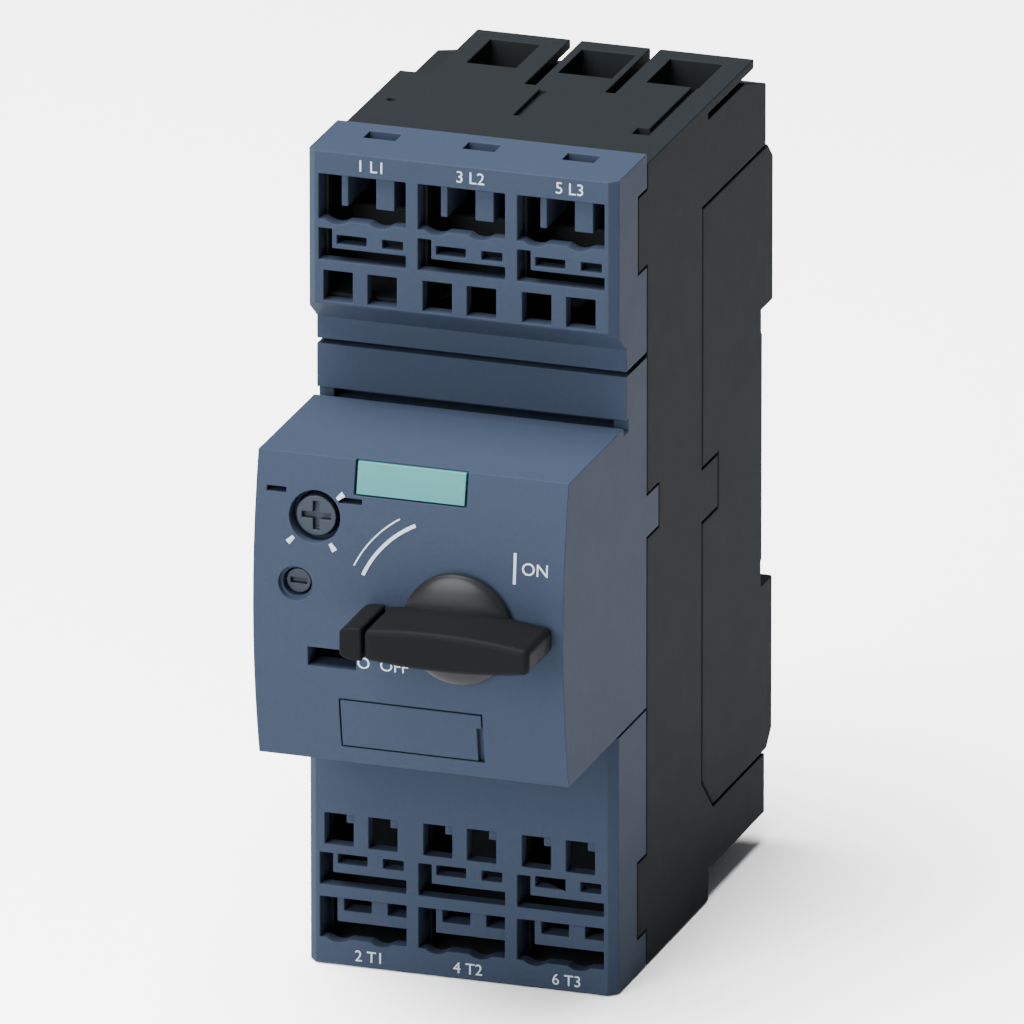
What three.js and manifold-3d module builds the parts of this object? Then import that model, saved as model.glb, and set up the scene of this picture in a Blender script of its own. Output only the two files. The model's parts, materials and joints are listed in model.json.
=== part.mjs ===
// Three-pole motor protection breaker for a 35 mm mounting rail, as separate solids.
// Millimetres, +Z up. The front (handle side) faces -Y, the rail side faces +Y.
// Pieces are laid out from the front plane of the terminal covers (Y = 0) and the underside (Z = 0).
// The whole group is then moved so that its origin is the centre of the rail seat.
import * as THREE from 'three';
import { mergeVertices } from 'three/addons/utils/BufferGeometryUtils.js';
import Module from 'manifold-3d';

const wasm = await Module();
wasm.setup();

// ---- driving dimensions ----
const WIDTH = 45;
const HEIGHT = 119;
const HALF = WIDTH / 2;
const POLE_PITCH = 14.4;
const POLE_X = [-POLE_PITCH, 0, POLE_PITCH];
const ENTRY_HALF = 6.3;          // half width of one pole's terminal chamber
const GAP = 0.3;                 // running gap between pieces
const WALL = 1.8;                // side wall of the covers and the front housing

const COVER_BACK = 13.2;         // rear edge of the three front covers
const HANDLE_LOW = 38;           // handle block, bottom
const HANDLE_TOP = 82.3;         // handle block, top
const HANDLE_FRONT = -20.5;      // front face at the block's top and bottom edges
const HANDLE_CROWN = 2.5;        // how far the front face bulges at mid height
const PANEL_Y = 4.3;             // recessed panel above the handle block
const PANEL_TOP = 89.4;
const PANEL_JOINT = 0.7;         // open joint between the panel and the upper terminal cover

const SPLIT_Y = 37.4;            // where the front housing meets the rear housing
const WRAP_LOW = 13.2;           // the front housing wraps the rear one below and above these
const WRAP_TOP = 103.2;
const WRAP_BACK = 65.5;
const DECK_TOP = 117.5;
const GUIDE_START = 40;
const LEDGE_TOP = 115.2;         // top of the side walls beside the accessory guides

const RAIL_SEAT_Y = 64.2;
const RAIL_Z = 59;
const RAIL_HALF = 17.5;          // half of the 35 mm rail
const RECESS_LOW = 38.6;
const RECESS_TOP = 79.3;
const BACK_Y = 68.8;

const KNOB = { x: 7.5, z: 60.5, back: -23.3, front: -34.2, hub: 8, half: 13.7 };
const DIAL = { x: -13.8, z: 73.8, r: 2.9, well: 3.7, front: -21.4 };
const TEST = { x: -16.3, z: 64.1, r: 1.8, well: 2.5, front: -21.5 };

const PIVOT = { y: 29.3, z: 59.5, arm: 10.2, swing: 12 };   // toggle lever
const COIL_Y = 27.5;

const COLOURS = {
  blue: [0x5e6f84, 0.55, 0], black: [0x35393c, 0.6, 0], knob: [0x2b2d31, 0.45, 0],
  teal: [0x1f7f86, 0.5, 0], white: [0xd8d8d0, 0.6, 0], copper: [0xb87346, 0.35, 1],
  steel: [0x9a9da0, 0.35, 1], fibre: [0xcfc6ae, 0.8, 0],
};

// ---- helpers: every shape becomes a closed solid that can be joined and cut ----
function solid(geometry) {
  geometry.deleteAttribute('normal');
  geometry.deleteAttribute('uv');
  const merged = mergeVertices(geometry, 1e-5);
  const mesh = new wasm.Mesh({
    numProp: 3,
    vertProperties: new Float32Array(merged.attributes.position.array),
    triVerts: new Uint32Array(merged.index.array),
  });
  return new wasm.Manifold(mesh);
}

function box(x0, x1, y0, y1, z0, z1) {
  const block = new THREE.BoxGeometry(x1 - x0, y1 - y0, z1 - z0);
  return solid(block.translate((x0 + x1) / 2, (y0 + y1) / 2, (z0 + z1) / 2));
}

// A side profile, given as [y, z] points, pulled from x0 to x1.
function profile(points, x0, x1) {
  const shape = new THREE.Shape(points.map(([y, z]) => new THREE.Vector2(y, z)));
  const bar = new THREE.ExtrudeGeometry(shape, { depth: x1 - x0, bevelEnabled: false });
  const axes = new THREE.Matrix4().makeBasis(
    new THREE.Vector3(0, 1, 0), new THREE.Vector3(0, 0, 1), new THREE.Vector3(1, 0, 0));
  return solid(bar.applyMatrix4(axes).translate(x0, 0, 0));
}

// A front outline, given as [x, z] points, pulled from y0 to y1.
function frontOutline(points, y0, y1) {
  const shape = new THREE.Shape(points.map(([x, z]) => new THREE.Vector2(x, z)));
  const bar = new THREE.ExtrudeGeometry(shape, { depth: y1 - y0, bevelEnabled: false });
  return solid(bar.rotateX(Math.PI / 2).translate(0, y1, 0));
}

function rod(axis, a, b, r, from, to, sides = 16) {
  const length = to - from;
  const cylinder = new THREE.CylinderGeometry(r, r, length, sides);
  const middle = (from + to) / 2;
  if (axis === 'x') return solid(cylinder.rotateZ(Math.PI / 2).translate(middle, a, b));
  if (axis === 'y') return solid(cylinder.translate(a, middle, b));
  return solid(cylinder.rotateX(Math.PI / 2).translate(a, b, middle));
}

function ring(axis, a, b, inner, outer, from, to, sides = 12) {
  return rod(axis, a, b, outer, from, to, sides)
    .subtract(rod(axis, a, b, inner, from - 1, to + 1, sides));
}

const joined = (pieces) => pieces.reduce((sum, piece) => sum.add(piece));
const cut = (body, tools) => tools.reduce((rest, tool) => rest.subtract(tool), body);
const bothSides = (x0, x1, ...rest) => [box(x0, x1, ...rest), box(-x1, -x0, ...rest)];

// Terminal features are given by their distance from the outer end, top or bottom.
const span = (upper, d0, d1) => (upper ? [HEIGHT - d1, HEIGHT - d0] : [d0, d1]);
const flip = (upper, z) => (upper ? z : HEIGHT - z);

const device = new THREE.Group();
device.position.set(0, -RAIL_SEAT_Y, -RAIL_Z);

function put(name, body, finish) {
  const { vertProperties, triVerts } = body.getMesh();
  const geometry = new THREE.BufferGeometry();
  geometry.setAttribute('position', new THREE.BufferAttribute(vertProperties, 3));
  geometry.setIndex(new THREE.BufferAttribute(triVerts, 1));
  geometry.computeVertexNormals();
  const [color, roughness, metalness] = COLOURS[finish];
  const mesh = new THREE.Mesh(geometry,
    new THREE.MeshStandardMaterial({ color, roughness, metalness }));
  mesh.name = name;
  device.add(mesh);
}

// ---- terminal covers ----
const FACE_LOW = 96.9;           // where the upper cover's front face ends
const SKIN = 2.2;                // thickness of the covers' front wall

// Heights of the features in each cover, from the underside of the device.
const UPPER = {
  chamber: [97.1, 117], entry: [109.1, 115.7], groove: [103.2, 105, 107.8], slots: [105.7, 107],
  releases: [97.3, 101.7], testSlot: [HEIGHT - 2.5, HEIGHT + 1],
};
const LOWER = {
  chamber: [2, 35.8], entry: [3.8, 9.8], groove: [11.6, 13.5, 16.3], slots: [14.9, 16.3],
  releases: [17.6, 22.2], testSlot: [-1, 2.5],
};

function terminalOutline(upper) {
  if (!upper) return [[0, 0], [COVER_BACK, 0], [COVER_BACK, HANDLE_LOW - GAP], [0, HANDLE_LOW - GAP]];
  const low = PANEL_TOP + PANEL_JOINT;
  return [[0, FACE_LOW], [PANEL_Y, 93.4], [PANEL_Y, low], [COVER_BACK, low], [COVER_BACK, HEIGHT],
    [0, HEIGHT]];
}

function poleOpenings(x, { entry, groove, slots, releases }) {
  const left = x - ENTRY_HALF;
  const right = x + ENTRY_HALF;
  const [barLow, barTop, legTop] = groove;
  const funnels = [-3.7, 2.7].map((offset) => rod('y', x + offset, entry[0] + 2, 2.6, -1, 3, 20));
  const holes = [[-3.7, 0.6], [2.9, 5.9]].map(([a, b]) => box(x + a, x + b, -1, 3, ...slots));
  const levers = [[-5.6, -1.4], [0.8, 5]].map(([a, b]) => box(x + a, x + b, -1, 3, ...releases));
  return [box(left, right, -1, 3, ...entry), box(left, left + 1.9, -1, 3, barLow, legTop),
    box(left, right, -1, 3, barLow, barTop), ...funnels, ...holes, ...levers];
}

// Two partitions hang from the top of each line entry.
function upperRibs(x, { entry }) {
  const [low, top] = [entry[0] + 1.9, entry[1] + 1.5];
  return [box(x - 3.3, x - 2.3, 0.9, 10, low, top), box(x + 1.7, x + 4.4, 0.9, 10, low, top)];
}

// Each load entry holds a guide with two windows.
function lowerRibs(x, { entry }) {
  const guide = box(x - 4.1, x + ENTRY_HALF + 0.5, 0.9, 4, entry[0] + 2.2, entry[1] + 0.7);
  const windows = [[-3.1, 0.9], [3.3, 7]].map(([a, b]) =>
    box(x + a, x + b, 0, 5, entry[0] + 3.9, entry[1] + 1));
  return [cut(guide, windows)];
}

// Triangular prisms that take the two vertical front edges off.
function verticalEdgeCuts(z0, z1, y, size) {
  return [-1, 1].map((side) => {
    const corner = new THREE.Shape([
      new THREE.Vector2(side * (HALF + 0.5), y - 0.5),
      new THREE.Vector2(side * (HALF + 0.5), y + size),
      new THREE.Vector2(side * HALF, y + size),
      new THREE.Vector2(side * (HALF - size), y),
      new THREE.Vector2(side * (HALF - size), y - 0.5),
    ]);
    const prism = new THREE.ExtrudeGeometry(corner, { depth: z1 - z0, bevelEnabled: false });
    return solid(prism.translate(0, 0, z0));
  });
}

function terminalCover(upper) {
  const heights = upper ? UPPER : LOWER;
  const chambers = POLE_X.map((x) =>
    box(x - ENTRY_HALF, x + ENTRY_HALF, SKIN, COVER_BACK + 1, ...heights.chamber));
  const tongueRooms = bothSides(HALF - WALL - 0.2, HALF + 1, 9.3, COVER_BACK + 1,
    ...span(upper, 5, 16.5));
  const testSlots = POLE_X.map((x) => box(x - 2.3, x + 2.3, 7.3, 10.3, ...heights.testSlot));
  const edges = upper ? verticalEdgeCuts(FACE_LOW - 8, HEIGHT + 1, 0, 1.2)
    : verticalEdgeCuts(-1, HANDLE_LOW, 0, 1.2);
  const openings = POLE_X.flatMap((x) => poleOpenings(x, heights));
  const ribs = POLE_X.flatMap((x) => (upper ? upperRibs : lowerRibs)(x, heights));
  const shell = cut(profile(terminalOutline(upper), -HALF, HALF),
    [...chambers, ...openings, ...tongueRooms, ...testSlots, ...edges]);
  return joined([shell, ...ribs]);
}

// ---- handle block ----
const HANDLE_MID = (HANDLE_LOW + HANDLE_TOP) / 2;
const HANDLE_HALF = (HANDLE_TOP - HANDLE_LOW) / 2;

function faceY(z) {
  return HANDLE_FRONT - HANDLE_CROWN * (1 - ((z - HANDLE_MID) / HANDLE_HALF) ** 2);
}

// Points down the crowned front face from zTop to zLow, set back by depth.
function facePoints(zLow, zTop, depth, steps) {
  return Array.from({ length: steps + 1 }, (_, i) => {
    const z = zTop - ((zTop - zLow) * i) / steps;
    return [faceY(z) + depth, z];
  });
}

function frontCover() {
  const outline = [[COVER_BACK, HANDLE_LOW], [COVER_BACK, PANEL_TOP], [PANEL_Y, PANEL_TOP],
    [PANEL_Y, HANDLE_TOP], ...facePoints(HANDLE_LOW, HANDLE_TOP, 0, 10)];
  const tools = [
    box(-20.5, 20.5, -18.3, COVER_BACK + 1, HANDLE_LOW + 2, HANDLE_TOP - 2),
    box(-20.5, 20.5, PANEL_Y + 2, COVER_BACK + 1, HANDLE_TOP + 2.5, PANEL_TOP - 2),
    box(-HALF - 1, HALF + 1, PANEL_Y - 1.2, PANEL_Y + 1, HANDLE_TOP - 1.1, HANDLE_TOP + 0.7),
    box(-20.3, 20.3, PANEL_Y - 1.2, PANEL_Y + 4.5, HANDLE_TOP - 1.1, HANDLE_TOP + 0.7),
    rod('y', KNOB.x, KNOB.z, 3.6, -30, -10, 24),
    rod('y', DIAL.x, DIAL.z, DIAL.well, -30, -19.8, 28),
    rod('y', DIAL.x, DIAL.z, DIAL.r + GAP, -30, -10, 24),
    rod('y', TEST.x, TEST.z, TEST.well, -30, -22.1, 24),
    rod('y', TEST.x, TEST.z, TEST.r + GAP, -30, -10, 20),
    box(-14.6, -7.6, -30, -17, 52.3, 55.1),
    box(-20.9, -18.1, -30, -17, 76.7, 77.5),
    box(-10.4, -7.1, -30, -17, 76.1, 76.9),
    profile([[-30, 77.4], [faceY(77.4) + 0.9, 77.4], [HANDLE_FRONT + 0.9, 83], [-30, 83]], -8.3, 8),
    profile([[-30, 40.4], ...facePoints(40.4, 47.8, 0.9, 3).reverse(), [-30, 47.8]], -10.3, 10.5),
  ];
  const snapArms = bothSides(21.1, HALF, COVER_BACK - 2, 18.4, 63, 69);
  const roots = bothSides(20.3, HALF, COVER_BACK - 3, COVER_BACK, 62, 70);
  return joined([cut(profile(outline, -HALF, HALF), tools), ...snapArms, ...roots]);
}

function badgePlate() {
  return profile([...facePoints(77.6, 82.1, 0.05, 2), ...facePoints(77.6, 82.1, 0.6, 2).reverse()],
    -8, 7.7);
}

function labelPlate() {
  const plate = profile([...facePoints(40.6, 47.6, 0, 3), ...facePoints(40.6, 47.6, 0.6, 3).reverse()],
    -10.1, 10.3);
  return cut(plate, [box(9.6, 11, -30, 0, 41.4, 45.6), box(9.6, 11, -30, 0, 40, 42.2)]);
}

// ---- housings ----
const GUIDES = [
  { x0: -17.9, neck: -6.3, lip: -4.3, window: [-14.8, -7.6] },
  { x0: -2.7, neck: 7.4, lip: 7.4, window: [-1.4, 6.4] },
  { x0: 8.8, neck: 20.6, lip: HALF, window: [11.5, 19.1] },
];

function frontHousing() {
  const outline = [[COVER_BACK + GAP, 0], [40.5, 0], [41, 4.4], [WRAP_BACK, 4.4],
    [WRAP_BACK, WRAP_LOW], [42.6, WRAP_LOW], [SPLIT_Y, 18.4], [SPLIT_Y, WRAP_TOP],
    [WRAP_BACK, WRAP_TOP], [WRAP_BACK, 112.2], [56, LEDGE_TOP], [GUIDE_START, LEDGE_TOP],
    [GUIDE_START, DECK_TOP], [COVER_BACK + GAP, DECK_TOP]];
  const guides = GUIDES.flatMap(({ x0, neck, lip }) => [
    box(x0, neck, GUIDE_START - 1, 60, LEDGE_TOP - 3, DECK_TOP),
    box(x0, lip, GUIDE_START - 1, 60, 116.1, DECK_TOP),
  ]);
  const tongues = [true, false].flatMap((upper) =>
    bothSides(HALF - WALL, HALF, 9.6, COVER_BACK + 1, ...span(upper, 5.3, 16.2)));
  const snapTabs = bothSides(21, HALF, SPLIT_Y - 1, 44.4, 57, 64.6);
  const body = joined([profile(outline, -HALF, HALF), ...guides, ...tongues]);
  const chambers = [true, false].flatMap((upper) => POLE_X.map((x) =>
    box(x - ENTRY_HALF, x + ENTRY_HALF, COVER_BACK - 1, 36, ...span(upper, 3.8, 22))));
  const windows = GUIDES.map(({ window }) => box(...window, 46, 56.5, 107.5, DECK_TOP + 1));
  const hollow = cut(body, [
    box(-HALF + WALL, HALF - WALL, COVER_BACK, SPLIT_Y + 1, 21, 98),
    ...chambers, ...windows,
    ...bothSides(20.8, HALF + 1, COVER_BACK, 18.7, 62.7, 69.3),
    box(-1.6, -0.4, 27, 38.5, DECK_TOP - 0.8, DECK_TOP + 1),
    box(18.1, 18.9, 27.2, 46, DECK_TOP - 0.8, DECK_TOP + 1),
    box(16.4, 18.9, 24.8, 27.6, DECK_TOP - 1.2, DECK_TOP + 1),
    rod('z', -19.6, 27.9, 0.7, DECK_TOP - 1.4, DECK_TOP + 1, 10),
  ]);
  return joined([hollow, ...snapTabs]);
}

function rearHousing() {
  const outline = [[SPLIT_Y + GAP, 18.6], [SPLIT_Y + GAP, WRAP_TOP - GAP], [66.5, WRAP_TOP - GAP],
    [BACK_Y, 100.6], [BACK_Y, RECESS_TOP], [RAIL_SEAT_Y, RECESS_TOP], [RAIL_SEAT_Y, RECESS_LOW],
    [BACK_Y, RECESS_LOW], [BACK_Y, 16], [66.5, WRAP_LOW + GAP], [42.8, WRAP_LOW + GAP]];
  const railHook = box(-14, 14, 65.9, BACK_Y, RAIL_Z + RAIL_HALF + 0.4, RECESS_TOP + 1);
  const springPeg = box(-1.7, 1.7, RAIL_SEAT_Y - 1, 67.6, 24.5, 27);
  const chambers = POLE_X.map((x) => box(x - 6.6, x + 6.6, SPLIT_Y - 1, 62.2, 20, 101));
  const shell = cut(joined([profile(outline, -HALF, HALF), railHook]), [
    ...chambers,
    ...bothSides(20.7, HALF + 1, SPLIT_Y - 1, 44.7, 56.7, 64.9),
    box(-HALF - 1, HALF + 1, RAIL_SEAT_Y - 0.4, BACK_Y + 1, RECESS_LOW, 42.2),
    box(-HALF - 1, HALF + 1, RAIL_SEAT_Y - 0.4, RAIL_SEAT_Y + 1, 76, RECESS_TOP),
    box(-10, 10, 64.5, 66.7, WRAP_LOW - 1, RECESS_LOW + 1),
    box(-7, 7, 66, BACK_Y + 1, WRAP_LOW - 1, RECESS_LOW + 1),
  ]);
  return shell.add(springPeg);
}

// ---- mounting rail latch ----
function railLatch() {
  const slider = box(-9.7, 9.7, 64.8, 66.4, 17, 38.3);
  const tongue = profile([[65.9, 10], [BACK_Y, 10], [BACK_Y, 39.8], [67.4, 41.7], [65.9, 41.7]],
    -6.7, 6.7);
  return cut(slider.add(tongue), [box(-2, 2, 60, 70, 24, 34), box(-3, 3, 60, 70, 11.5, 14)]);
}

// ---- handle ----
const TAB_SPLIT = -10.3;         // the lock tab forms the left end of the handle bar

// Upper and lower edge of the bar from x0 to x1, measured from the hub centre.
function barOutline(x0, x1, half) {
  const upper = Array.from({ length: 7 }, (_, i) => {
    const x = x0 + ((x1 - x0) * i) / 6;
    return [x, half(x)];
  });
  const lower = upper.map(([a, b]) => [a, -b]).reverse();
  return [...upper, ...lower].map(([a, b]) => [KNOB.x + a, KNOB.z + b]);
}

function rotaryKnob() {
  const { x, z, back, front, hub, half } = KNOB;
  const dome = [[hub, 0.8], [hub - 0.5, 1.3], [hub - 2.4, 2.1]].map(([r, height]) =>
    rod('y', x, z, r, back - height, back, 32));
  const taper = (along) => 2.8 - 1.05 * (along / half) ** 2;
  const bar = frontOutline(barOutline(TAB_SPLIT + GAP / 2, half, taper), front, back);
  const bore = box(x - 2.3, x + 2.3, back - 3, back + 1, z - 2.3, z + 2.3);
  const tabRoom = box(x - half, x - 2.5, front + 2, back - 2, z - 1, z + 1);
  return cut(joined([...dome, bar]), [bore, tabRoom]);
}

function knobLockTab() {
  const { x, z, back, front, half } = KNOB;
  const cap = frontOutline(barOutline(-half, TAB_SPLIT - GAP / 2, (along) =>
    2.4 - 0.7 * ((along - TAB_SPLIT) / (half + TAB_SPLIT)) ** 4), front, back - 0.2);
  const tongue = box(x - half + 1, x - 2.9, front + 2.3, back - 2.3, z - 0.7, z + 0.7);
  return cut(joined([cap, tongue]), [rod('z', x - 6.6, (front + back) / 2, 1.8, z - 2, z + 2, 16)]);
}

function knobShaft() {
  const at = (half, y0, y1) => box(KNOB.x - half, KNOB.x + half, y0, y1, KNOB.z - half, KNOB.z + half);
  return joined([
    rod('y', KNOB.x, KNOB.z, 3.2, -22.8, -3, 20),
    rod('y', KNOB.x, KNOB.z, 4.8, -17.6, -16.2, 20),
    at(2, KNOB.back - 2.7, -20),
    box(KNOB.x - 7, KNOB.x + 2, -5.6, -2.2, KNOB.z - 1.6, KNOB.z + 1.6),
  ]);
}

// ---- small controls in the handle block ----
function settingDial() {
  const { x, z, r, front } = DIAL;
  const body = joined([rod('y', x, z, r, front, -11, 24), rod('y', x, z, 4.8, -17.9, -16.5, 24)]);
  const slots = [box(x - 2.1, x + 2.1, front - 1, front + 0.9, z - 0.45, z + 0.45),
    box(x - 0.45, x + 0.45, front - 1, front + 0.9, z - 2.1, z + 2.1)];
  return cut(body, slots);
}

function testPlunger() {
  const { x, z, r, front } = TEST;
  const body = joined([rod('y', x, z, r, front, -13.8), rod('y', x, z, 3.3, -15, -13.8),
    rod('y', x, z, 1.4, -14, -6, 12)]);
  return cut(body, [box(x - 1.2, x + 1.2, front - 1, front + 0.8, z - 0.4, z + 0.4)]);
}

// ---- switching mechanism ----
function mechanismFrame() {
  const plate = box(-1.5, 16.5, 0, 1.2, 48, 71);
  const cheeks = [[-1.5, -0.3], [15.3, 16.5]].map(([a, b]) => box(a, b, 0, 33, 52, 63.9));
  return cut(joined([plate, ...cheeks]), [rod('x', PIVOT.y, PIVOT.z, 1.2, -5, 20, 12)]);
}

function toggleLever() {
  const lean = THREE.MathUtils.degToRad(PIVOT.swing);
  const tip = [PIVOT.y - PIVOT.arm * Math.sin(lean), PIVOT.z + PIVOT.arm * Math.cos(lean)];
  const arm = new THREE.BoxGeometry(3, 1.4, PIVOT.arm).translate(0, 0, PIVOT.arm / 2)
    .rotateX(lean).translate(KNOB.x, PIVOT.y, PIVOT.z);
  const body = joined([solid(arm), rod('x', PIVOT.y, PIVOT.z, 2.4, 4.5, 10.5),
    rod('x', ...tip, 1.5, 5, 10)]);
  return cut(body, [rod('x', PIVOT.y, PIVOT.z, 1.2, 0, 15, 12)]);
}

function contactCarrier() {
  const bar = box(-19.5, 19.5, 29.5, 33, 64.5, 74.5);
  const cradles = POLE_X.flatMap((x) => [
    box(x - 4.8, x - 3.6, 32, 47.8, 67, 72),
    box(x + 3.6, x + 4.8, 32, 47.8, 67, 72),
    box(x - 4.8, x + 4.8, 46.6, 47.8, 67, 72),
  ]);
  return joined([bar, ...cradles]);
}

function movingContact(x) {
  const pads = [59.5, 79.5].map((z) => rod('y', x, z, 2, 45, 46.2, 12));
  return joined([box(x - 2.8, x + 2.8, 44, 45.2, 56.5, 82.5), ...pads]);
}

// ---- current paths, terminals and arc chutes ----
const BAR_START = 24;            // where a conductor meets the bar, well inside the chamber

function lineBar(x) {
  const path = [[BAR_START, 107.3], [31.8, 107.3], [31.8, 86], [52, 86], [52, 77], [53.2, 77],
    [53.2, 87.2], [33, 87.2], [33, 108.5], [BAR_START, 108.5]];
  return profile(path, x - 4, x + 4).add(rod('y', x, 79.5, 2, 50.8, 52.2, 12));
}

function lowerFixedContact(x) {
  const path = [[34, 50.5], [53.2, 50.5], [53.2, 62], [52, 62], [52, 51.7], [34, 51.7]];
  return profile(path, x - 4, x + 4).add(rod('y', x, 59.5, 2, 50.8, 52.2, 12));
}

function loadBar(x) {
  const path = [[BAR_START, 10.5], [33, 10.5], [33, 16], [31.8, 16], [31.8, 11.7],
    [BAR_START, 11.7]];
  return profile(path, x - 4, x + 4);
}

function clampSpring(x, upper) {
  const leaf = [[19.5, 114.2], [35.1, 114.2], [35.5, 113.2], [21.5, 109], [21.3, 109.6],
    [34.1, 113.6], [19.5, 113.6]];
  return profile(leaf.map(([y, z]) => [y, flip(upper, z)]), x - 5, x + 5);
}

function arcChute(x, low, top) {
  const plates = Array.from({ length: 8 }, (_, i) => {
    const y = 40 + i * 2.8;
    return box(x - 5.4, x + 5.4, y, y + 1, low + 0.3, top - 0.3);
  });
  const cheeks = [-1, 1].map((side) => {
    const edges = [x + side * 5.2, x + side * 5.9].sort((a, b) => a - b);
    return box(...edges, 39.5, 61.2, low, top);
  });
  return joined([...cheeks, ...plates]);
}

// ---- releases ----
function striker(x) {
  return joined([rod('z', x, COIL_Y, 2.4, 38.6, 45, 12), rod('z', x, COIL_Y, 0.9, 44, 49.5, 8)]);
}

function bimetal(x) {
  return joined([box(x - 0.5, x + 0.5, 24, 30, 12, 36.9), box(x - 2.2, x + 2.2, 22.8, 31.2, 15, 29)]);
}

function tripSlide() {
  const plate = box(-19.5, 17.5, 22.5, 31.5, 34.5, 36.3);
  const finger = box(-12, -9.7, 15.5, 23, 34.5, 36.3);
  const slots = POLE_X.map((x) => box(x - 2.8, x + 0.9, 23.4, 30.6, 30, 40));
  return cut(joined([plate, finger]), slots);
}

function tripLever() {
  const arm = joined([box(-9, -7, 16.5, 18.5, 35, 54), rod('y', -8, 44, 2.2, 16.5, 18.5)]);
  return cut(arm, [rod('y', -8, 44, 1.1, 10, 25, 12)]);
}

// ---- assembly ----
put('front_cover', frontCover(), 'blue');
put('upper_terminal_cover', terminalCover(true), 'blue');
put('lower_terminal_cover', terminalCover(false), 'blue');
put('front_housing', frontHousing(), 'black');
put('rear_housing', rearHousing(), 'black');
put('badge_plate', badgePlate(), 'teal');
put('label_plate', labelPlate(), 'blue');
put('rotary_knob', rotaryKnob(), 'knob');
put('knob_lock_tab', knobLockTab(), 'knob');
put('knob_shaft', knobShaft(), 'white');
put('setting_dial', settingDial(), 'knob');
put('test_plunger', testPlunger(), 'knob');
put('test_spring', ring('y', TEST.x, TEST.z, 1.8, 2.6, -11.5, -4.5), 'steel');
put('rail_latch', railLatch(), 'knob');
put('rail_latch_spring', ring('z', 0, 66.5, 0.7, 1.6, 27.3, 33.7), 'steel');
put('mechanism_frame', mechanismFrame(), 'steel');
put('toggle_lever', toggleLever(), 'white');
put('lever_pin', rod('x', PIVOT.y, PIVOT.z, 0.9, -1.9, 16.9, 12), 'steel');
put('main_spring', ring('y', KNOB.x, 64.5, 1.2, 2.2, 1.6, 26.4), 'steel');
put('contact_carrier', contactCarrier(), 'white');
put('trip_slide', tripSlide(), 'white');
put('trip_lever', tripLever(), 'white');
put('trip_lever_pin', rod('y', -8, 44, 0.8, 14.5, 20.5, 8), 'steel');
POLE_X.forEach((x, i) => {
  const pole = i + 1;
  put(`line_bar_${pole}`, lineBar(x), 'copper');
  put(`load_bar_${pole}`, loadBar(x), 'copper');
  put(`lower_fixed_contact_${pole}`, lowerFixedContact(x), 'copper');
  put(`moving_contact_${pole}`, movingContact(x), 'copper');
  put(`contact_spring_${pole}`, ring('y', x, 69.5, 0.9, 2.1, 33.3, 43.7), 'steel');
  put(`upper_clamp_${pole}`, clampSpring(x, true), 'steel');
  put(`lower_clamp_${pole}`, clampSpring(x, false), 'steel');
  put(`arc_chute_upper_${pole}`, arcChute(x, 88, 99.5), 'fibre');
  put(`arc_chute_lower_${pole}`, arcChute(x, 38.5, 50), 'fibre');
  put(`magnet_coil_${pole}`, ring('z', x, COIL_Y, 3, 5.6, 38, 50), 'copper');
  put(`striker_${pole}`, striker(x), 'steel');
  put(`bimetal_${pole}`, bimetal(x), 'steel');
});

export default device;
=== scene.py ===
"""Looks of a three-pole motor protection breaker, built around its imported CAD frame."""
import json
import math

import bmesh
import bpy
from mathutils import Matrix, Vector

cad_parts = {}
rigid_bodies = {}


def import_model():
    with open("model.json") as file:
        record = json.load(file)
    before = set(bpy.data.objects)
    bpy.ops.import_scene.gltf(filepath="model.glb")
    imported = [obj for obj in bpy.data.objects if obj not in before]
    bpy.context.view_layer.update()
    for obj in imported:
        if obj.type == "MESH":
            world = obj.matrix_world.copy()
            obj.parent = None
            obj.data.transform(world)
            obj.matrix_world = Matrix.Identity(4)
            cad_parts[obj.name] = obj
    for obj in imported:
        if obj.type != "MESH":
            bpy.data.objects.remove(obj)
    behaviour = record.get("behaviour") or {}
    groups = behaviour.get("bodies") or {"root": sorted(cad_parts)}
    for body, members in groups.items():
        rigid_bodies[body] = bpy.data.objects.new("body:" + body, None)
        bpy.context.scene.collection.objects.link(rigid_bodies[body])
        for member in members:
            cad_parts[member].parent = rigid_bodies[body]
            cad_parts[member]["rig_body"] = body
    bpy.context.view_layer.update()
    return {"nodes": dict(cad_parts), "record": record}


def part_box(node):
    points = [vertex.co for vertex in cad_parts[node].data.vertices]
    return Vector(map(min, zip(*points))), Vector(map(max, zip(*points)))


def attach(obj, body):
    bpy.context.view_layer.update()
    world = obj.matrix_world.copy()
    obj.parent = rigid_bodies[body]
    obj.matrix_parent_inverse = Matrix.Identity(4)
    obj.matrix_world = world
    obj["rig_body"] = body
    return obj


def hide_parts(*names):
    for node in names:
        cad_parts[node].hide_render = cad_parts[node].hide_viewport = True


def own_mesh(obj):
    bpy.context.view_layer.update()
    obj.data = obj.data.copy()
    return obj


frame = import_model()

# ---- device frame: millimetres from the terminal covers' front plane and the underside ----
MM = 0.001
FRONT_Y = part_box("upper_terminal_cover")[0][1]
BASE_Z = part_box("lower_terminal_cover")[0][2]
POLE_PITCH = 14.4
POLES = (-POLE_PITCH, 0.0, POLE_PITCH)
HANDLE_LOW, HANDLE_TOP = 38.0, 82.3
HANDLE_FRONT, HANDLE_CROWN = -20.5, 2.5
KNOB_X, KNOB_Z = 7.5, 60.5
KNOB_BACK, KNOB_FRONT = -23.3, -34.2
DIAL_X, DIAL_Z = -13.8, 73.8


def at(x, y, z):
    """A point of the device frame, in the row frame's metres."""
    return Vector((x * MM, FRONT_Y + y * MM, BASE_Z + z * MM))


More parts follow.
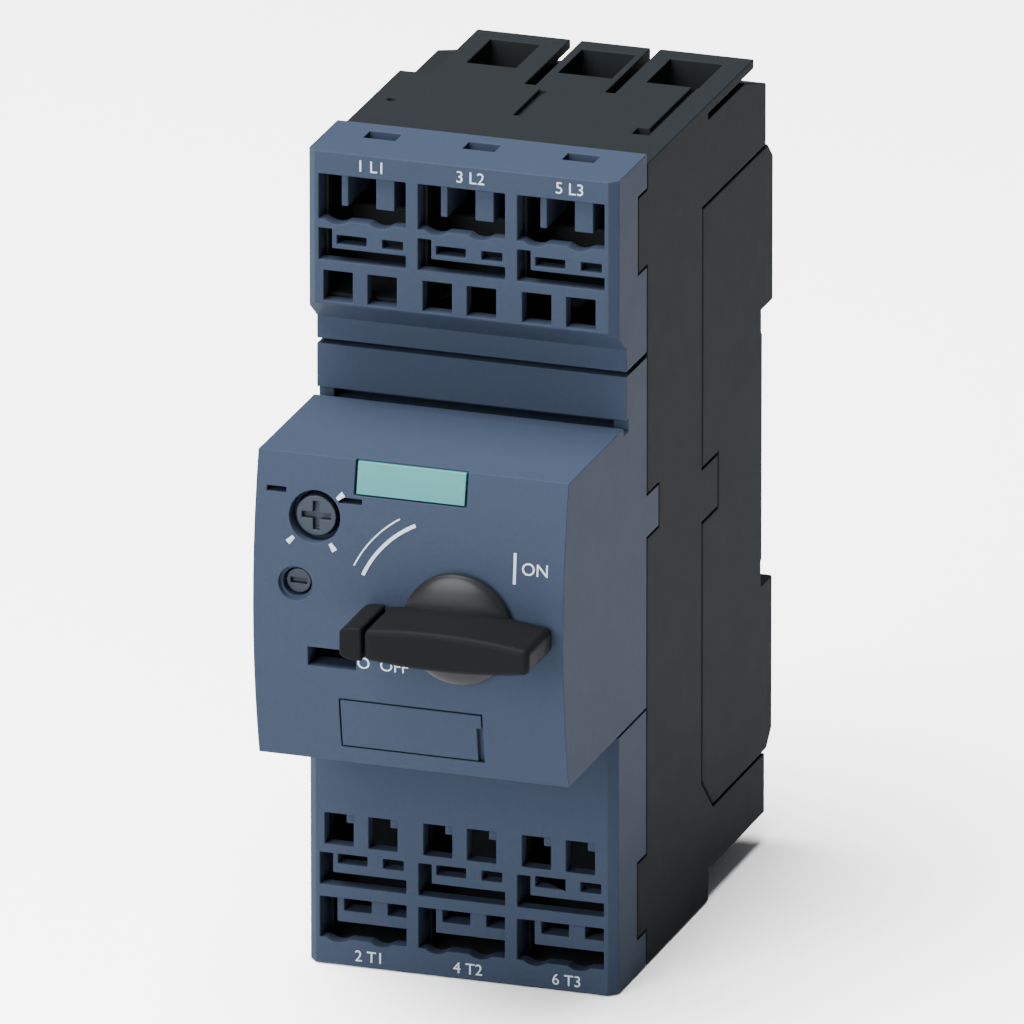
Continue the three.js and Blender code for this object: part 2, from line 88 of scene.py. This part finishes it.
def face_y(z):
    """Front face of the handle block at height z."""
    middle = (HANDLE_LOW + HANDLE_TOP) / 2
    half = (HANDLE_TOP - HANDLE_LOW) / 2
    return HANDLE_FRONT - HANDLE_CROWN * (1 - ((z - middle) / half) ** 2)


def toward(azimuth, elevation):
    """Direction from the object to a viewer or a lamp; azimuth 0 is straight in front."""
    a, e = math.radians(azimuth), math.radians(elevation)
    return Vector((math.sin(a) * math.cos(e), -math.cos(a) * math.cos(e), math.sin(e)))


def aim(obj, target, direction, distance):
    """Places a camera or lamp at a distance from the target and turns it to face it."""
    obj.location = target + direction * distance
    obj.rotation_euler = (-direction).to_track_quat("-Z", "Y").to_euler()


# ---- camera ----
AZIMUTH, ELEVATION = 18.65, 19.75
LENS, SENSOR = 1200.0, 36.0
VIEW_WIDTH = 141.58 * MM       # what the frame spans at the target


def make_camera():
    data = bpy.data.cameras.new("camera")
    data.lens = LENS
    data.sensor_width = SENSOR
    data.clip_end = 50
    camera = bpy.data.objects.new("camera", data)
    bpy.context.scene.collection.objects.link(camera)
    aim(camera, at(0.6, 20, 61.9), toward(AZIMUTH, ELEVATION), VIEW_WIDTH * LENS / SENSOR)
    bpy.context.scene.camera = camera


# ---- materials ----
# Noise scales are per metre, so 70 gives clouds about 14 mm across and 2600 a 0.4 mm grain.
CLOUD_SCALE, GLOSS_SCALE, SPECKLE_SCALE, GRAIN_SCALE = 70.0, 240.0, 1820.0, 2600.0
LINE_SCALE, STAIN_SCALE = 900.0, 150.0      # rolled metal
INK_SCALE, INK_GRAIN_SCALE = 1800.0, 3000.0
GLOSS_SPREAD = 0.015
SPECKLE = 0.07


def node_material(name):
    """A new material with its node tree and its shader."""
    material = bpy.data.materials.new(name)
    material.use_nodes = True
    tree = material.node_tree
    shader = tree.nodes["Principled BSDF"]
    return material, tree, shader


def feed(tree, socket, value):
    """Links an output to a socket, or sets a constant on the socket itself."""
    if isinstance(value, bpy.types.NodeSocket):
        tree.links.new(value, socket)
    elif socket.type == "RGBA":
        socket.default_value = (*value, 1)
    else:
        socket.default_value = value


def noise(tree, scale, detail=3.0, rough=0.5):
    coords = tree.nodes.new("ShaderNodeTexCoord")
    texture = tree.nodes.new("ShaderNodeTexNoise")
    texture.inputs["Scale"].default_value = scale
    texture.inputs["Detail"].default_value = detail
    texture.inputs["Roughness"].default_value = rough
    tree.links.new(coords.outputs["Object"], texture.inputs["Vector"])
    return texture.outputs["Fac"]


def remap(tree, value, low, high, from_low=0.3, from_high=0.7):
    """Spreads a noise between low and high; from_low and from_high are where noise mostly lies."""
    node = tree.nodes.new("ShaderNodeMapRange")
    node.inputs["From Min"].default_value = from_low
    node.inputs["From Max"].default_value = from_high
    node.inputs["To Min"].default_value = low
    node.inputs["To Max"].default_value = high
    tree.links.new(value, node.inputs["Value"])
    return node.outputs["Result"]


def mix_colour(tree, factor, first, second):
    """Mixes two colours; each may be a constant or an output."""
    node = tree.nodes.new("ShaderNodeMix")
    node.data_type = "RGBA"
    feed(tree, node.inputs["Factor"], factor)
    sockets = [socket for socket in node.inputs if socket.type == "RGBA"]
    for socket, value in zip(sockets, (first, second)):
        feed(tree, socket, value)
    return next(socket for socket in node.outputs if socket.type == "RGBA")


def shade(colour, factor):
    return tuple(part * factor for part in colour)


def bump(tree, shader, height, strength, distance):
    node = tree.nodes.new("ShaderNodeBump")
    node.inputs["Strength"].default_value = strength
    node.inputs["Distance"].default_value = distance
    tree.links.new(height, node.inputs["Height"])
    tree.links.new(node.outputs["Normal"], shader.inputs["Normal"])


def plastic(name, colour, roughness, relief=0.25, cloud=0.05, specular=0.2):
    """Moulded plastic: fine eroded grain, slow clouding of the colour, slightly uneven gloss."""
    material, tree, shader = node_material(name)
    shader.inputs["Specular IOR Level"].default_value = specular
    clouds = remap(tree, noise(tree, CLOUD_SCALE, 4.0), 0, 1)
    speckle = remap(tree, noise(tree, SPECKLE_SCALE, 2.0), 0, 1)
    broad = mix_colour(tree, clouds, shade(colour, 1 - cloud), shade(colour, 1 + cloud))
    fine = mix_colour(tree, speckle, shade(colour, 1 - SPECKLE), shade(colour, 1 + SPECKLE))
    tree.links.new(mix_colour(tree, 0.5, broad, fine), shader.inputs["Base Color"])
    gloss = remap(tree, noise(tree, GLOSS_SCALE, 5.0), roughness - GLOSS_SPREAD,
                  roughness + GLOSS_SPREAD)
    tree.links.new(gloss, shader.inputs["Roughness"])
    bump(tree, shader, noise(tree, GRAIN_SCALE, 3.0, 0.6), relief, 0.06 * MM)
    return material


def metal(name, colour, roughness, stretch):
    """Rolled or drawn metal: fine lines along one direction and a slightly uneven gloss."""
    material, tree, shader = node_material(name)
    shader.inputs["Metallic"].default_value = 1.0
    coords = tree.nodes.new("ShaderNodeTexCoord")
    mapping = tree.nodes.new("ShaderNodeMapping")
    mapping.inputs["Scale"].default_value = stretch
    lines = tree.nodes.new("ShaderNodeTexNoise")
    lines.inputs["Scale"].default_value = LINE_SCALE
    lines.inputs["Detail"].default_value = 4.0
    tree.links.new(coords.outputs["Object"], mapping.inputs["Vector"])
    tree.links.new(mapping.outputs["Vector"], lines.inputs["Vector"])
    stain = remap(tree, noise(tree, STAIN_SCALE), 0, 1)
    tint = mix_colour(tree, stain, shade(colour, 0.85), colour)
    tree.links.new(tint, shader.inputs["Base Color"])
    gloss = remap(tree, lines.outputs["Fac"], roughness - 0.08, roughness + 0.1)
    tree.links.new(gloss, shader.inputs["Roughness"])
    bump(tree, shader, lines.outputs["Fac"], 0.15, 0.04 * MM)
    return material


def printed(name, colour):
    """Pad-printed ink: nearly even, with small thin patches."""
    material, tree, shader = node_material(name)
    thin = remap(tree, noise(tree, INK_SCALE, 2.0), 0, 1, 0.25, 0.6)
    tint = mix_colour(tree, thin, shade(colour, 0.86), colour)
    tree.links.new(tint, shader.inputs["Base Color"])
    shader.inputs["Roughness"].default_value = 0.55
    bump(tree, shader, noise(tree, INK_GRAIN_SCALE), 0.1, 0.03 * MM)
    return material


MATERIALS = {
    "cover_plastic": plastic("cover_plastic", (0.0138, 0.0190, 0.0308), 0.6, relief=0.15,
                             cloud=0.02, specular=0.02),
    "housing_plastic": plastic("housing_plastic", (0.0062, 0.0071, 0.0079), 0.65, relief=0.15,
                               cloud=0.01, specular=0.012),
    "knob_plastic": plastic("knob_plastic", (0.0034, 0.0035, 0.0040), 0.5, relief=0.12,
                            specular=0.012),
    "knob_polished": plastic("knob_polished", (0.0050, 0.0052, 0.0060), 0.3, relief=0.03,
                             specular=0.1),
    "control_plastic": plastic("control_plastic", (0.0085, 0.0120, 0.0180), 0.42, relief=0.15,
                               specular=0.1),
    "badge_colour": plastic("badge_colour", (0.006, 0.075, 0.074), 0.4, relief=0.08, cloud=0.03),
    "print_white": printed("print_white", (0.19, 0.225, 0.265)),
    "inner_plastic": plastic("inner_plastic", (0.42, 0.40, 0.34), 0.45),
    "inner_steel": metal("inner_steel", (0.52, 0.52, 0.54), 0.34, (1, 8, 1)),
    "contact_copper": metal("contact_copper", (0.78, 0.42, 0.27), 0.34, (1, 1, 8)),
}


# ---- making pieces ----
SLOTS = {entry["node"]: entry["material_slot"] for entry in frame["record"]["subparts"]}


def body_of_node(node):
    return frame["nodes"][node]["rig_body"]


def mesh_from(bm, name):
    """Ends a bmesh and returns it as a named mesh."""
    mesh = bpy.data.meshes.new(name)
    bm.to_mesh(mesh)
    bm.free()
    return mesh


def add_prism(bm, front, back):
    """A closed solid between two outlines that have the same number of points."""
    near = [bm.verts.new(point) for point in front]
    far = [bm.verts.new(point) for point in back]
    bm.faces.new(near)
    bm.faces.new(list(reversed(far)))
    count = len(near)
    for i in range(count):
        j = (i + 1) % count
        bm.faces.new((near[j], near[i], far[i], far[j]))
    bmesh.ops.recalc_face_normals(bm, faces=bm.faces)


def add_block(bm, low, high):
    verts = bmesh.ops.create_cube(bm, size=1)["verts"]
    bmesh.ops.scale(bm, vec=high - low, verts=verts)
    bmesh.ops.translate(bm, vec=(low + high) / 2, verts=verts)


def join_rings(bm, rings):
    """Skins a row of rings; a ring of one vertex closes the skin to a point."""
    sides = max(len(ring) for ring in rings)
    for first, second in zip(rings, rings[1:]):
        for k in range(sides):
            j = (k + 1) % sides
            corners = [first[k % len(first)], first[j % len(first)],
                       second[j % len(second)], second[k % len(second)]]
            bm.faces.new(list(dict.fromkeys(corners)))


def shade_edges(obj, sharp_from):
    """Smooth shading that stays sharp at edges above an angle in degrees."""
    obj.data.shade_smooth()
    obj.data.set_sharp_from_angle(angle=math.radians(sharp_from))


def apply_modifiers(obj):
    graph = bpy.context.evaluated_depsgraph_get()
    mesh = bpy.data.meshes.new_from_object(obj.evaluated_get(graph))
    obj.modifiers.clear()
    obj.data = mesh


def new_piece(name, mesh, slot, body, replaced=(), look=None):
    """A visible piece that rides on a body; look is a material other than its slot's own."""
    obj = bpy.data.objects.new(name, mesh)
    bpy.context.scene.collection.objects.link(obj)
    mesh.materials.clear()
    mesh.materials.append(MATERIALS[look or slot])
    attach(obj, body)
    if replaced:
        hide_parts(*replaced)
    return obj


def edge_rounding(obj, width, segments=2, angle=32):
    """Rounds the edges sharper than an angle in degrees; width is in millimetres."""
    rounding = obj.modifiers.new("edges", "BEVEL")
    rounding.width = width * MM
    rounding.segments = segments
    rounding.limit_method = "ANGLE"
    rounding.angle_limit = math.radians(angle)
    rounding.use_clamp_overlap = False
    rounding.miter_outer = "MITER_SHARP"
    normals = obj.modifiers.new("normals", "WEIGHTED_NORMAL")
    normals.keep_sharp = True
    obj.data.shade_smooth()
    apply_modifiers(obj)


def clean_copy(node):
    """The node's solid with its flat faces made whole again."""
    bm = bmesh.new()
    bm.from_mesh(frame["nodes"][node].data)
    bmesh.ops.remove_doubles(bm, verts=bm.verts, dist=2e-6)
    bmesh.ops.dissolve_limit(bm, angle_limit=math.radians(0.6), verts=bm.verts, edges=bm.edges,
                             use_dissolve_boundaries=False)
    bmesh.ops.recalc_face_normals(bm, faces=bm.faces)
    return mesh_from(bm, node + "_moulding")


# How far the edges of each moulding are rounded, in millimetres; other nodes get FINE.
ROUNDING = {
    "front_cover": 0.12, "upper_terminal_cover": 0.16, "lower_terminal_cover": 0.16,
    "front_housing": 0.18, "rear_housing": 0.3, "rail_latch": 0.25, "label_plate": 0.12,
    "badge_plate": 0.12, "knob_lock_tab": 0.35, "test_plunger": 0.15, "setting_dial": 0.15,
}
FINE = 0.08


# ---- wound pieces ----
WIRE_SIDES, TURN_STEPS = 10, 24


def circle(sides):
    """Cosine and sine pairs once round a circle."""
    turns = [2 * math.pi * k / sides for k in range(sides)]
    return [(math.cos(turn), math.sin(turn)) for turn in turns]


def helix_mesh(name, start, along, radius, wire, length, turns):
    """Round wire wound about an axis at an even pitch and cut off square at both ends."""
    side = along.orthogonal().normalized()
    up = along.cross(side)
    bm = bmesh.new()
    total = round(turns * TURN_STEPS)
    path = []
    for i in range(total + 1):
        turn = 2 * math.pi * i / TURN_STEPS
        height = wire + (length - 2 * wire) * i / total
        path.append(start + along * height + (side * math.cos(turn) + up * math.sin(turn)) * radius)
    rings = []
    for i, point in enumerate(path):
        ahead = path[min(i + 1, total)] - path[max(i - 1, 0)]
        tangent = ahead.normalized()
        outward = (point - start - along * along.dot(point - start)).normalized()
        across = tangent.cross(outward).normalized()
        rings.append([bm.verts.new(point + (outward * c + across * s) * wire)
                      for c, s in circle(WIRE_SIDES)])
    join_rings(bm, rings)
    bm.faces.new(list(reversed(rings[0])))
    bm.faces.new(rings[-1])
    bmesh.ops.recalc_face_normals(bm, faces=bm.faces)
    return mesh_from(bm, name)


# node: (axis number, turns, wire radius in millimetres)
WOUND = {
    "test_spring": (1, 6, 0.3),
    "rail_latch_spring": (2, 6, 0.3),
    "main_spring": (1, 15, 0.4),
}
for pole in (1, 2, 3):
    WOUND[f"contact_spring_{pole}"] = (1, 7, 0.35)
    WOUND[f"magnet_coil_{pole}"] = (2, 4.5, 1.15)


def make_wound(node, axis, turns, wire):
    """A spring or coil that fills the outer size of its node."""
    low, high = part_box(node)
    radius = (high.x - low.x) / 2 - wire * MM
    start = (low + high) / 2
    start[axis] = low[axis]
    along = Vector((0, 0, 0))
    along[axis] = 1
    name = node + "_winding"
    mesh = helix_mesh(name, start, along, radius, wire * MM, high[axis] - low[axis], turns)
    piece = new_piece(name, mesh, SLOTS[node], body_of_node(node), (node,))
    shade_edges(piece, 40)
    return piece


def make_all_wound():
    pieces = {node: make_wound(node, *sizes) for node, sizes in WOUND.items()}
    # in the device the latch presses its spring down on the housing's peg; here the spring's foot
    # point is found and the spring only gets a mesh of its own
    low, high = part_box("rail_latch_spring")
    anchor = (low + high) / 2
    anchor.z = low.z
    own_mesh(pieces["rail_latch_spring"])


def make_mouldings():
    """Every node but the handle and the wound ones, with rounded edges and its material."""
    for node in frame["nodes"]:
        if node == "rotary_knob" or node in WOUND:
            continue
        mesh = clean_copy(node)
        piece = new_piece(node + "_moulding", mesh, SLOTS[node], body_of_node(node), (node,))
        edge_rounding(piece, ROUNDING.get(node, FINE))


# ---- handle ----
BAR_LEFT, BAR_RIGHT = -10.15, 13.7        # ends of the bar, from the knob's axis
BAR_HALF, BAR_TAPER = 2.8, 1.05           # half its height at the axis, and how much the ends lose
CAP_ANGLE, CAP_RADIUS, CAP_FOOT, CAP_HEIGHT = 74.4, 7.7, -24.3, 1.1
HUB_RADIUS = 8.0


def knob_bar_mesh():
    steps = 24
    upper = []
    for i in range(steps + 1):
        along = BAR_LEFT + (BAR_RIGHT - BAR_LEFT) * i / steps
        upper.append((along, BAR_HALF - BAR_TAPER * (along / BAR_RIGHT) ** 2))
    outline = upper + [(a, -b) for a, b in reversed(upper)]
    bm = bmesh.new()
    add_prism(bm, [at(KNOB_X + a, KNOB_FRONT, KNOB_Z + b) for a, b in outline],
              [at(KNOB_X + a, KNOB_BACK, KNOB_Z + b) for a, b in outline])
    return mesh_from(bm, "knob_bar")


def lathe_y(name, profile, x, z, sides=96):
    """A turned mesh about the Y direction; profile is (radius, y) points from front to back."""
    bm = bmesh.new()
    rings = []
    for radius, y in profile:
        points = circle(sides) if radius else [(0, 0)]
        rings.append([bm.verts.new(at(x + radius * c, y, z + radius * s)) for c, s in points])
    join_rings(bm, rings)
    bmesh.ops.recalc_face_normals(bm, faces=bm.faces)
    return mesh_from(bm, name)


def hub_profile(steps=12):
    """Radius and depth of the hub: a flattened ball cap, a narrow round rim and a straight wall."""
    cap = math.radians(CAP_ANGLE)
    profile = [(0, CAP_FOOT - CAP_HEIGHT)]
    for i in range(1, steps + 1):
        turn = cap * i / steps
        rise = (math.cos(turn) - math.cos(cap)) / (1 - math.cos(cap))
        profile.append((CAP_RADIUS * math.sin(turn) / math.sin(cap), CAP_FOOT - CAP_HEIGHT * rise))
    rim = [(HUB_RADIUS - 0.05, CAP_FOOT + 0.2), (HUB_RADIUS, CAP_FOOT + 0.4)]
    return profile + rim + [(HUB_RADIUS, KNOB_BACK), (0, KNOB_BACK)]


def make_knob():
    """The bar and the glossier hub take the place of the plain handle."""
    bar = new_piece("knob_bar", knob_bar_mesh(), "knob_plastic", "knob", ("rotary_knob",))
    edge_rounding(bar, 0.9, 5, 40)
    hub = new_piece("knob_hub", lathe_y("knob_hub", hub_profile(), KNOB_X, KNOB_Z), "knob_plastic",
                    "knob", look="knob_polished")
    shade_edges(hub, 35)


# ---- inside the terminal covers: black walls and screens as painted shade ----
SLEEVE_HALF, SLEEVE_WALL, SLEEVE_BACK = 6.2, 0.5, 13.1
SLEEVES = {                    # floor, top, front, and the rear screen's lower and upper edge
    "line": (97.25, 115.6, 2.5, 97.9, 107.4),
    "load": (2.15, 35.6, 4.2, 6.5, 35.0),
}
RELEASE_TOP = 22.15            # top of the lower cover's release holes
RELEASE_EDGES = {"left": -1.4, "right": 5.0}     # their right edges, from the pole's middle


def shade_wall_mesh(name, x, floor, top, front, screen_low, screen_top):
    """Floor, two walls and a rear screen of one pole's chamber, as one open channel of black that
    stands in for the chamber's shade.
    """
    half = SLEEVE_HALF
    inner = half - SLEEVE_WALL
    outline = [(x - half, top), (x - half, floor), (x + half, floor), (x + half, top),
               (x + inner, top), (x + inner, floor + SLEEVE_WALL),
               (x - inner, floor + SLEEVE_WALL), (x - inner, top)]
    bm = bmesh.new()
    add_prism(bm, [at(a, front, b) for a, b in outline], [at(a, SLEEVE_BACK, b) for a, b in outline])
    add_block(bm, at(x - inner + 0.1, SLEEVE_BACK - 1.0, screen_low),
              at(x + inner - 0.1, SLEEVE_BACK, screen_top))
    return mesh_from(bm, name)


def make_painted_shade_sleeves():
    """Black inner walls behind the blue covers, put in as painted shade that keeps the holes dark.
    """
    for number, x in enumerate(POLES):
        for end, sizes in SLEEVES.items():
            name = f"{end}_painted_shade_wall_{number + 1}"
            # the black housing plastic on these walls and screens is painted shade for the holes
            piece = new_piece(name, shade_wall_mesh(name, x, *sizes), "housing_plastic", "body")
            edge_rounding(piece, FINE)


def make_release_levers():
    """The end of each clamp's release lever shows in the upper right corner of its hole."""
    for number, x in enumerate(POLES):
        for side, edge in RELEASE_EDGES.items():
            name = f"release_lever_{number + 1}_{side}"
            bm = bmesh.new()
            add_block(bm, at(x + edge - 1.3, 0.7, RELEASE_TOP - 1.45),
                      at(x + edge - 0.05, 2.1, RELEASE_TOP))
            edge_rounding(new_piece(name, mesh_from(bm, name), "cover_plastic", "body"), 0.2)


# ---- printed marks ----
INK_PROUD, INK_SUNK = 0.04, 0.05         # how far the ink stands out of the face and reaches in
LINE_TEXTS = ("1 L1", "3 L2", "5 L3")
LOAD_TEXTS = ("2 T1", "4 T2", "6 T3")
TICK_INNER, TICK_OUTER, TICK_HALF = 4.2, 5.4, 0.25
DIAL_TICKS = {"low": 226, "mid": 42, "high": -55}


def face_patch(name, outline):
    """A thin printed patch that follows the handle block's crowned face."""
    bm = bmesh.new()
    add_prism(bm, [at(x, face_y(z) - INK_PROUD, z) for x, z in outline],
              [at(x, face_y(z) + INK_SUNK, z) for x, z in outline])
    new_piece(name, mesh_from(bm, name), "print_white", "body")


def arc_mark(name, inner, outer, start, stop, steps=16):
    """A stripe round the knob's axis; start and stop are in degrees from the right."""
    angles = [math.radians(start + (stop - start) * i / steps) for i in range(steps + 1)]
    rim = [(KNOB_X + outer * math.cos(a), KNOB_Z + outer * math.sin(a)) for a in angles]
    rim += [(KNOB_X + inner * math.cos(a), KNOB_Z + inner * math.sin(a)) for a in reversed(angles)]
    face_patch(name, rim)


def dial_tick(name, angle):
    """A short stroke that points away from the dial and widens outwards."""
    a = math.radians(angle)
    outward = Vector((math.cos(a), math.sin(a)))
    across = Vector((-math.sin(a), math.cos(a))) * TICK_HALF
    middle = Vector((DIAL_X, DIAL_Z))
    inner, outer = middle + outward * TICK_INNER, middle + outward * TICK_OUTER
    corners = (inner - across, outer - across * 1.6, outer + across * 1.6, inner + across)
    face_patch(name, [tuple(corner) for corner in corners])


def lettering(name, text, x, z, size, plane=None):
    """Generic lettering as thin raised ink, laid on the crowned face or on a flat plane."""
    curve = bpy.data.curves.new(name, "FONT")
    curve.body = text
    curve.size = size
    curve.align_x = "CENTER"
    curve.align_y = "CENTER"
    curve.extrude = 0.05
    curve.resolution_u = 4
    holder = bpy.data.objects.new(name, curve)
    bpy.context.scene.collection.objects.link(holder)
    graph = bpy.context.evaluated_depsgraph_get()
    mesh = bpy.data.meshes.new_from_object(holder.evaluated_get(graph))
    bpy.data.objects.remove(holder)
    for vertex in mesh.vertices:
        high = z + vertex.co.y
        base = face_y(high) if plane is None else plane
        proud = INK_PROUD if vertex.co.z > 0 else -INK_SUNK
        vertex.co = at(x + vertex.co.x, base - proud, high)
    new_piece(name, mesh, "print_white", "body")


def make_markings():
    for number, x in enumerate(POLES):
        lettering(f"line_mark_{number + 1}", LINE_TEXTS[number], x + 1.3, 117.35, 2.4, 0)
        lettering(f"load_mark_{number + 1}", LOAD_TEXTS[number], x + 0.9, 1.5, 2.3, 0)
    face_patch("on_bar", [(15.15, 67.6), (15.55, 67.6), (15.55, 72.0), (15.15, 72.0)])
    lettering("on_mark", "ON", 18.3, 69.8, 2.5)
    lettering("off_mark", "O  OFF", -3.7, 53.5, 2.4)
    arc_mark("turn_arc", 15.0, 15.5, 116, 157)
    arc_mark("turn_arc_outer", 16.85, 17.05, 122, 155)
    for name, angle in DIAL_TICKS.items():
        dial_tick(f"dial_tick_{name}", angle)


# ---- stage ----
def area_light(name, azimuth, elevation, distance, size, watts):
    """A round soft lamp, aimed at the middle of the device."""
    data = bpy.data.lights.new(name, "AREA")
    data.shape = "DISK"
    data.size = size
    data.energy = watts
    light = bpy.data.objects.new(name, data)
    bpy.context.scene.collection.objects.link(light)
    aim(light, at(0, 20, 60), toward(azimuth, elevation), distance)


def make_floor():
    material, tree, shader = node_material("floor")
    tint = mix_colour(tree, noise(tree, 3.0), (0.86, 0.86, 0.87), (0.90, 0.90, 0.90))
    tree.links.new(tint, shader.inputs["Base Color"])
    shader.inputs["Roughness"].default_value = 0.8
    bpy.ops.mesh.primitive_plane_add(size=6, location=(0, 0, BASE_Z - 0.2 * MM))
    floor = bpy.context.active_object
    floor.name = "floor"
    floor.data.materials.append(material)


def make_light():
    world = bpy.data.worlds.new("studio")
    world.use_nodes = True
    sky = world.node_tree.nodes["Background"]
    sky.inputs["Color"].default_value = (0.95, 0.97, 1.0, 1)
    sky.inputs["Strength"].default_value = 0.14
    bpy.context.scene.world = world
    area_light("top", -60, 74, 1.3, 1.3, 150)
    area_light("front", -20, 20, 1.2, 0.8, 38)
    area_light("side", 82, 32, 1.2, 0.22, 0.3)


make_camera()
make_floor()
make_light()
make_mouldings()
make_all_wound()
make_knob()
make_painted_shade_sleeves()
make_release_levers()
make_markings()
